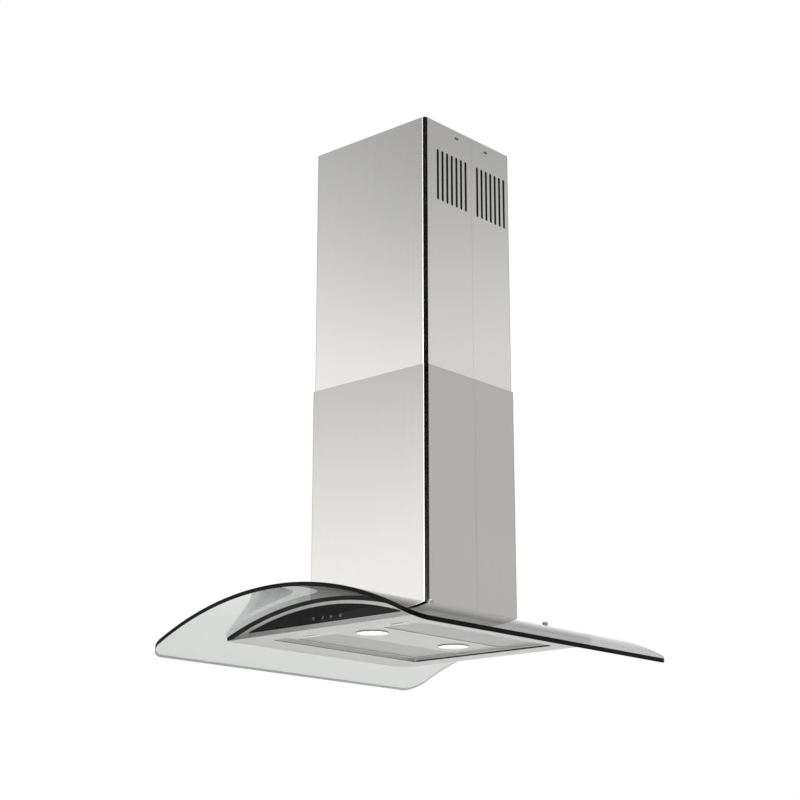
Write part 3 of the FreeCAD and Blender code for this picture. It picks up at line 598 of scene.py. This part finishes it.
for side in ("left", "right"):
    sizes = meshSizes(side)
    growPiece("filterMesh_" + side, filterTree("filterMesh_" + side, sizes), sizes, "filter_" + side,
              ["filter_mesh_" + side])


# symbols printed on the touch panel

symbolSizes = {
    "Face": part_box("touch_panel")[0].y, "Height": underside + 19.5 * mm, "Size": 3.2 * mm, "Line": 0.8 * mm,
    "Ink": 0.12 * mm, "First": -23 * mm, "Second": 1 * mm, "Third": 24 * mm, "Fourth": 49 * mm,
}


def symbolTree():
    tree, size = newTree("touchSymbols", symbolSizes)
    pen = add(tree, "GeometryNodeCurvePrimitiveQuadrilateral", None,
              {"Width": size["Line"], "Height": size["Ink"]})

    def stroke(curve):
        return add(tree, "GeometryNodeCurveToMesh", {"Fill Caps": True},
                   {"Curve": curve, "Profile Curve": pen.outputs[0]}).outputs[0]

    def line(start, end):
        node = add(tree, "GeometryNodeCurvePrimitiveLine")
        for key, (x, z) in (("Start", start), ("End", end)):
            tree.links.new(vector(tree, calc(tree, "MULTIPLY", size["Size"], x),
                                  calc(tree, "MULTIPLY", size["Size"], z), 0.0), node.inputs[key])
        return stroke(node.outputs[0])

    def arc(radius, start, sweep, centre=(0.0, 0.0)):
        node = add(tree, "GeometryNodeCurveArc",
                   {"Resolution": 22, "Start Angle": math.radians(start), "Sweep Angle": math.radians(sweep)},
                   {"Radius": calc(tree, "MULTIPLY", size["Size"], radius)})
        moved = add(tree, "GeometryNodeTransform", None,
                    {"Geometry": node.outputs["Curve"],
                     "Translation": vector(tree, calc(tree, "MULTIPLY", size["Size"], centre[0]),
                                           calc(tree, "MULTIPLY", size["Size"], centre[1]), 0.0)})
        return stroke(moved.outputs[0])

    def blade(turn):
        # one of three blades of the fan sign
        way = math.radians(90 + 120 * turn)
        return arc(0.42, 100 + 120 * turn, 170, (0.45 * math.cos(way), 0.45 * math.sin(way)))

    # lamp, speed, fan and power: strokes in shares of the symbol's size
    symbols = {
        "First": [arc(0.62, -50, 280, (0, 0.25)), line((-0.36, -0.55), (0.36, -0.55)),
                  line((-0.25, -0.9), (0.25, -0.9))],
        "Second": [line((-0.75, -0.9), (-0.75, -0.2)), line((0.0, -0.9), (0.0, 0.35)),
                   line((0.75, -0.9), (0.75, 0.9))],
        "Third": [blade(turn) for turn in range(3)],
        "Fourth": [arc(0.8, 125, 290), line((0.0, 0.1), (0.0, 1.0))],
    }
    groups = []
    for place, strokes in symbols.items():
        joined = add(tree, "GeometryNodeJoinGeometry", None, {"Geometry": strokes})
        upright = add(tree, "GeometryNodeTransform", {"Rotation": (math.pi / 2, 0, 0)},
                      {"Geometry": joined.outputs[0],
                       "Translation": vector(tree, size[place],
                                             calc(tree, "SUBTRACT", size["Face"],
                                                  calc(tree, "MULTIPLY", size["Ink"], 0.5)), size["Height"])})
        groups.append(upright.outputs[0])
    everything = add(tree, "GeometryNodeJoinGeometry", None, {"Geometry": groups})
    closeTree(tree, everything.outputs[0], printedInk)
    return tree


growPiece("touchSymbols", symbolTree(), symbolSizes, "hood", ())


# lamps: prismatic lenses with rings of small ridges, each in a raised trim

def lensSizes(end):
    low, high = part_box("lamp_lens_" + end)
    return {
        "Centre y": (low.y + high.y) / 2, "Bottom": low.z, "Top": high.z, "Radius": (high.x - low.x) / 2,
        "Ridge pitch": 2.4 * mm, "Ridge depth": 0.5 * mm,
    }


def trimSizes(end):
    low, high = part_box("lamp_bezel_" + end)
    return {
        "Centre y": (low.y + high.y) / 2, "Bottom": low.z, "Top": high.z, "Radius": (high.x - low.x) / 2,
        "Flange": 1.6 * mm, "Lip": 1.4 * mm, "Opening": 24.0 * mm,
        "Collar outside": 28.3 * mm, "Collar inside": 26.6 * mm,
    }


def trimTree(name, sizes):
    # a grid rolled into a ring; its rows follow a rim, a funnel up to the opening, and a collar above
    tree, size = newTree(name, sizes)
    rimFoot, rimRound, rimFlat, funnelFoot, funnelRise = 0.0003, 0.0006, 0.0024, 0.0042, 0.0002
    section = [
        (size["Radius"], size["Flange"]), (size["Radius"], rimFoot),
        (calc(tree, "SUBTRACT", size["Radius"], rimRound), 0.0),
        (calc(tree, "SUBTRACT", size["Radius"], rimFlat), 0.0),
        (calc(tree, "SUBTRACT", size["Radius"], funnelFoot), funnelRise),
        (calc(tree, "ADD", size["Opening"], rimRound), size["Lip"]), (size["Opening"], size["Flange"]),
        (size["Collar inside"], size["Flange"]),
        (size["Collar inside"], calc(tree, "SUBTRACT", size["Top"], size["Bottom"])),
        (size["Collar outside"], calc(tree, "SUBTRACT", size["Top"], size["Bottom"])),
        (size["Collar outside"], size["Flange"]),
    ]
    around, points = 96, len(section) + 1
    sheet = add(tree, "GeometryNodeMeshGrid", {"Vertices X": around + 1, "Vertices Y": points})
    index = add(tree, "GeometryNodeInputIndex").outputs[0]
    row = calc(tree, "MODULO", calc(tree, "MODULO", index, float(points)), float(points - 1))
    column = calc(tree, "FLOOR", calc(tree, "DIVIDE", calc(tree, "ADD", index, 0.5), float(points)))
    turn = calc(tree, "MULTIPLY", column, 2 * math.pi / around)
    across, up = 0.0, 0.0
    for number, (radius, height) in enumerate(section):
        here = calc(tree, "COMPARE", row, float(number), 0.1)
        across = calc(tree, "MULTIPLY_ADD", here, radius, across)
        up = calc(tree, "MULTIPLY_ADD", here, height, up)
    ring = add(tree, "GeometryNodeSetPosition", None,
               {"Geometry": sheet.outputs["Mesh"],
                "Position": vector(tree, calc(tree, "MULTIPLY", across, calc(tree, "COSINE", turn)),
                                   calc(tree, "MULTIPLY_ADD", across, calc(tree, "SINE", turn),
                                        size["Centre y"]),
                                   calc(tree, "ADD", up, size["Bottom"]))})
    shut = add(tree, "GeometryNodeMergeByDistance", {"Distance": 0.000005}, {"Geometry": ring.outputs[0]})
    placed = add(tree, "GeometryNodeFlipFaces", None, {"Mesh": shut.outputs[0]})
    painted = closeTree(tree, placed.outputs[0], chromePlate)
    # painted shade: black rubber on the ring's outer wall stands in for the shadow gap at the trim's edge
    spot = add(tree, "ShaderNodeSeparateXYZ", None, {0: add(tree, "GeometryNodeInputPosition").outputs[0]})
    reach = add(tree, "ShaderNodeVectorMath", {"operation": "LENGTH"},
                {0: vector(tree, spot.outputs["X"],
                           calc(tree, "SUBTRACT", spot.outputs["Y"], size["Centre y"]), 0.0)})
    wallStart = calc(tree, "SUBTRACT", size["Radius"], 0.0002)
    isShadeWall = calc(tree, "GREATER_THAN", reach.outputs["Value"], wallStart)
    wallShaded = add(tree, "GeometryNodeSetMaterial", {"Material": rubber},
                 {"Geometry": painted.outputs[0], "Selection": isShadeWall})
    tree.links.new(wallShaded.outputs[0], tree.nodes["Group Output"].inputs[0])
    return tree


def lensTree(name, sizes):
    tree, size = newTree(name, sizes)
    disc = add(tree, "GeometryNodeMeshCylinder",
               {"Vertices": 72, "Side Segments": 1, "Fill Segments": 44, "fill_type": "TRIANGLE_FAN"},
               {"Radius": size["Radius"], "Depth": calc(tree, "SUBTRACT", size["Top"], size["Bottom"])})
    here = add(tree, "ShaderNodeSeparateXYZ", None, {0: add(tree, "GeometryNodeInputPosition").outputs[0]})
    reach = calc(tree, "SQRT", calc(tree, "ADD", calc(tree, "MULTIPLY", here.outputs["X"], here.outputs["X"]),
                                    calc(tree, "MULTIPLY", here.outputs["Y"], here.outputs["Y"])))
    ridge = calc(tree, "PINGPONG", reach, calc(tree, "MULTIPLY", size["Ridge pitch"], 0.5))
    lift = calc(tree, "MULTIPLY", calc(tree, "DIVIDE", ridge, size["Ridge pitch"]), size["Ridge depth"])
    lower = calc(tree, "LESS_THAN", here.outputs["Z"], 0.0)
    ridged = add(tree, "GeometryNodeSetPosition", None,
                 {"Geometry": disc.outputs["Mesh"],
                  "Offset": vector(tree, 0.0, 0.0, calc(tree, "MULTIPLY", lift, lower))})
    middle = calc(tree, "MULTIPLY", calc(tree, "ADD", size["Top"], size["Bottom"]), 0.5)
    placed = add(tree, "GeometryNodeTransform", None,
                 {"Geometry": ridged.outputs[0], "Translation": vector(tree, 0.0, size["Centre y"], middle)})
    closeTree(tree, placed.outputs[0], lensPlastic)
    return tree


for end in ("front", "rear"):
    sizes = trimSizes(end)
    growPiece("lampTrim_" + end, trimTree("lampTrim_" + end, sizes), sizes, "hood",
              ["lamp_bezel_" + end], 40)
    sizes = lensSizes(end)
    growPiece("lampLens_" + end, lensTree("lampLens_" + end, sizes), sizes, "hood", ["lamp_lens_" + end],
              12)


# painted shade: a black rubber strip along the recess's rear wall stands in for the shadow gap there

shadeStripSizes = {
    "Half length": 186 * mm, "Wall": 219.9 * mm, "Thickness": 0.8 * mm, "Height": 2.6 * mm,
    "Bottom": underside + 0.6 * mm,
}


def shadeStripTree():
    # a D-shaped section drawn along the wall
    tree, size = newTree("rearShadeStrip", shadeStripSizes)
    path = add(tree, "GeometryNodeCurvePrimitiveLine", None,
               {"Start": vector(tree, calc(tree, "MULTIPLY", size["Half length"], -1.0), 0, 0),
                "End": vector(tree, size["Half length"], 0, 0)})
    section = add(tree, "GeometryNodeCurvePrimitiveQuadrilateral", None,
                  {"Width": size["Thickness"], "Height": size["Height"]})
    soft = add(tree, "GeometryNodeFilletCurve", {"mode": "POLY", "Count": 4, "Radius": 0.0003},
               {"Curve": section.outputs[0]})
    strip = add(tree, "GeometryNodeCurveToMesh", {"Fill Caps": True},
                {"Curve": path.outputs[0], "Profile Curve": soft.outputs[0]})
    middleY = calc(tree, "SUBTRACT", size["Wall"], calc(tree, "MULTIPLY", size["Thickness"], 0.5))
    middleZ = calc(tree, "ADD", size["Bottom"], calc(tree, "MULTIPLY", size["Height"], 0.5))
    placed = add(tree, "GeometryNodeSetPosition", None,
                 {"Geometry": strip.outputs[0], "Offset": vector(tree, 0, middleY, middleZ)})
    closeTree(tree, placed.outputs[0], rubber)
    return tree


growPiece("rearShadeStrip", shadeStripTree(), shadeStripSizes, "hood", ())


# latch springs, which shorten as the latch is drawn

def springSizes(side):
    low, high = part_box("latch_spring_" + side)
    return {
        "Middle x": (low.x + high.x) / 2, "Start y": low.y, "End y": high.y, "Middle z": (low.z + high.z) / 2,
        "Coil radius": 1.7 * mm, "Wire radius": 0.3 * mm, "Turns": 10,
    }


def springTree(name, sizes):
    tree, size = newTree(name, sizes)
    length = calc(tree, "SUBTRACT", calc(tree, "SUBTRACT", size["End y"], size["Start y"]),
                  calc(tree, "MULTIPLY", size["Wire radius"], 2.0))
    coil = add(tree, "GeometryNodeCurveSpiral", {"Resolution": 20},
               {"Rotations": size["Turns"], "Start Radius": size["Coil radius"],
                "End Radius": size["Coil radius"], "Height": length})
    wire = add(tree, "GeometryNodeCurvePrimitiveCircle", {"Resolution": 8}, {"Radius": size["Wire radius"]})
    spring = add(tree, "GeometryNodeCurveToMesh", {"Fill Caps": True},
                 {"Curve": coil.outputs[0], "Profile Curve": wire.outputs[0]})
    laid = add(tree, "GeometryNodeTransform", {"Rotation": (-math.pi / 2, 0, 0)},
               {"Geometry": spring.outputs[0],
                "Translation": vector(tree, size["Middle x"],
                                      calc(tree, "ADD", size["Start y"], size["Wire radius"]),
                                      size["Middle z"])})
    closeTree(tree, laid.outputs[0], springSteel)
    return tree


for side in ("left", "right"):
    sizes = springSizes(side)
    spring = growPiece("latchSpring_" + side, springTree("latchSpring_" + side, sizes), sizes,
                       "filter_" + side, ["latch_spring_" + side])
    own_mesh(spring)


# painted shade: a black sheet behind the vent slots, one pad on each side of the upper cover, stands in for
# the shade inside it

coverLow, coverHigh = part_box("upper_cover_front")
ventShadeSizes = {
    "Inner face": coverHigh.x - 2.3 * mm, "Thickness": 0.6 * mm, "Centre y": 10 * mm,
    "Width": 236 * mm, "Height": 136 * mm, "Corner": 6 * mm, "Centre z": coverHigh.z - 118.4 * mm,
}


def ventShadeTree():
    tree, size = newTree("ventShadeSheet", ventShadeSizes)
    plate = roundedPlate(tree, size["Width"], size["Height"], size["Corner"], size["Thickness"], 0.0)
    wall = calc(tree, "SUBTRACT", size["Inner face"], size["Thickness"])
    pads = []
    for way in (1, -1):
        # the pad's flat side turns to face the cover's side wall
        stood = add(tree, "GeometryNodeTransform", {"Rotation": (math.pi / 2, 0, way * math.pi / 2)},
                    {"Geometry": plate,
                     "Translation": vector(tree, calc(tree, "MULTIPLY", wall, way),
                                           size["Centre y"], size["Centre z"])})
        pads.append(stood.outputs[0])
    both = add(tree, "GeometryNodeJoinGeometry", None, {"Geometry": pads})
    closeTree(tree, both.outputs[0], ventShadeBlack)
    return tree


growPiece("ventShadeSheet", ventShadeTree(), ventShadeSizes, "upper_cover", ())
print("pieces ready")


# studio

studio = {
    "floorDrop": 1.30, "floorSize": 160.0, "floorDark": "#e9e8e6", "floorLight": "#efeeec",
    "cameraPlace": (2.4037, -2.7516, -1.6128), "cameraPitch": 16.054, "cameraTurn": 41.583,
    "cameraLens": 80.61,
}
floorMesh = bpy.data.meshes.new("floor")
half = studio["floorSize"] / 2
floorCorners = [(-half, -half, 0), (half, -half, 0), (half, half, 0), (-half, half, 0)]
floorMesh.from_pydata(floorCorners, [], [(0, 1, 2, 3)])
floorMesh.transform(Matrix.Translation((0, 0, underside - studio["floorDrop"])))
floor = bpy.data.objects.new("floor", floorMesh)
bpy.context.scene.collection.objects.link(floor)
# painted floor: matt and nearly white, with a faint unevenness
floorMesh.materials.append(speckled("paintedFloor", {"IOR": 1.45}, studio["floorDark"],
                                    studio["floorLight"], 40.0, (0.55, 0.7)))


def studioWorld():
    # a soft white room; the wall behind the viewer is a dark cloth between two heights
    world = bpy.data.worlds.new("studioRoom")
    bpy.context.scene.world = world
    world.use_nodes = True
    tree = world.node_tree
    tree.nodes.clear()
    place = add(tree, "ShaderNodeTexCoord")
    way = add(tree, "ShaderNodeSeparateXYZ", None, {0: place.outputs["Generated"]})
    azimuth = calc(tree, "ARCTAN2", way.outputs["Y"], way.outputs["X"])
    toViewer = math.radians(studio["cameraTurn"] - 90)
    relative = calc(tree, "WRAP", calc(tree, "SUBTRACT", azimuth, toViewer), math.pi, -math.pi)
    degrees = calc(tree, "MULTIPLY", relative, 180 / math.pi)
    height = calc(tree, "MULTIPLY", calc(tree, "ARCSINE", way.outputs["Z"]), 180 / math.pi)

    # walls: pairs of a height in degrees and the brightness there
    # shares and sides: pairs of a direction in degrees from the viewer and the share or brightness there
    leftWall = stopsRamp(tree, height, [(-10, 0.95), (5, 1.36), (10, 1.32), (14, 1.09), (17, 0.94),
                                        (21, 0.62), (26, 0.37), (40, 1.2), (60, 2.0)])
    rightWall = stopsRamp(tree, height, [(-10, 0.75), (6, 0.65), (13, 0.68), (17, 0.80), (20, 0.66),
                                         (24, 0.44), (28, 0.42), (40, 1.2), (60, 2.0)])
    rightShare = stopsRamp(tree, degrees, [(-180, 0.5), (-120, 0.0), (60, 0.0), (90, 1.0), (130, 1.0),
                                           (180, 0.5)])
    walls = add(tree, "ShaderNodeMix", {"data_type": "RGBA"},
                {"Factor": rightShare, 6: leftWall, 7: rightWall})
    backShare = stopsRamp(tree, degrees, [(-180, 1.0), (-155, 1.0), (-135, 0.0), (135, 0.0), (155, 1.0),
                                          (180, 1.0)])
    backWall = stopsRamp(tree, height, [(-10, 1.15), (14, 1.15), (20, 0.6), (28, 0.5), (40, 1.2), (60, 2.0)])
    withBack = add(tree, "ShaderNodeMix", {"data_type": "RGBA"},
                   {"Factor": backShare, 6: walls.outputs[2], 7: backWall})
    sides = stopsRamp(tree, degrees, [(-180, 1.0), (-150, 1.0), (-126, 0.45), (-104, 1.0), (-72, 1.0),
                                      (-70, 4.0), (-61, 4.0), (-60, 1.0), (80, 1.0), (104, 1.0),
                                      (128, 0.45), (150, 1.0), (180, 1.0)])
    # high up, the wall grows darker towards the cloth
    slant = stopsRamp(tree, degrees, [(-100, 1.0), (-88, 1.16), (-81.5, 0.85), (-76, 0.85), (-72, 1.0)])
    slantHeight = stopsRamp(tree, height, [(-10, 0.0), (15, 0.0), (22, 1.0), (60, 1.0)])
    cloth = stopsRamp(tree, degrees, [(-180, 0.0), (-60, 0.0), (-59, 1.0), (87, 1.0), (88.5, 0.0),
                                      (180, 0.0)])
    clothHeight = stopsRamp(tree, height, [(-10, 0.0), (4, 0.0), (8, 1.0), (30, 1.0), (38, 0.0), (60, 0.0)])
    lit = add(tree, "ShaderNodeMix", {"data_type": "RGBA", "blend_type": "MULTIPLY", "Factor": 1.0},
              {6: withBack.outputs[2], 7: sides})
    leaning = add(tree, "ShaderNodeMix", {"data_type": "RGBA", "blend_type": "MULTIPLY"},
                  {"Factor": slantHeight, 6: lit.outputs[2], 7: slant})
    dark = calc(tree, "MULTIPLY", cloth, clothHeight)
    room = add(tree, "ShaderNodeMix", {"data_type": "RGBA", 7: (0.001, 0.001, 0.001, 1.0)},
               {"Factor": dark, 6: leaning.outputs[2]})
    soft = add(tree, "ShaderNodeBackground", {"Strength": 1.0}, {"Color": room.outputs[2]})
    white = add(tree, "ShaderNodeBackground", {"Color": (1.0, 1.0, 1.0, 1.0), "Strength": 1.0})
    seen = add(tree, "ShaderNodeLightPath")
    mix = add(tree, "ShaderNodeMixShader", None,
              {0: seen.outputs["Is Camera Ray"], 1: soft.outputs[0], 2: white.outputs[0]})
    add(tree, "ShaderNodeOutputWorld", None, {"Surface": mix.outputs[0]})


studioWorld()
camera = bpy.data.objects.new("camera", bpy.data.cameras.new("camera"))
bpy.context.scene.collection.objects.link(camera)
camera.location = studio["cameraPlace"]
camera.rotation_euler = (math.radians(90 + studio["cameraPitch"]), 0, math.radians(studio["cameraTurn"]))
camera.data.lens = studio["cameraLens"]
camera.data.clip_end = 100
bpy.context.scene.camera = camera
bpy.context.scene.view_settings.view_transform = "Standard"
print("studio ready")
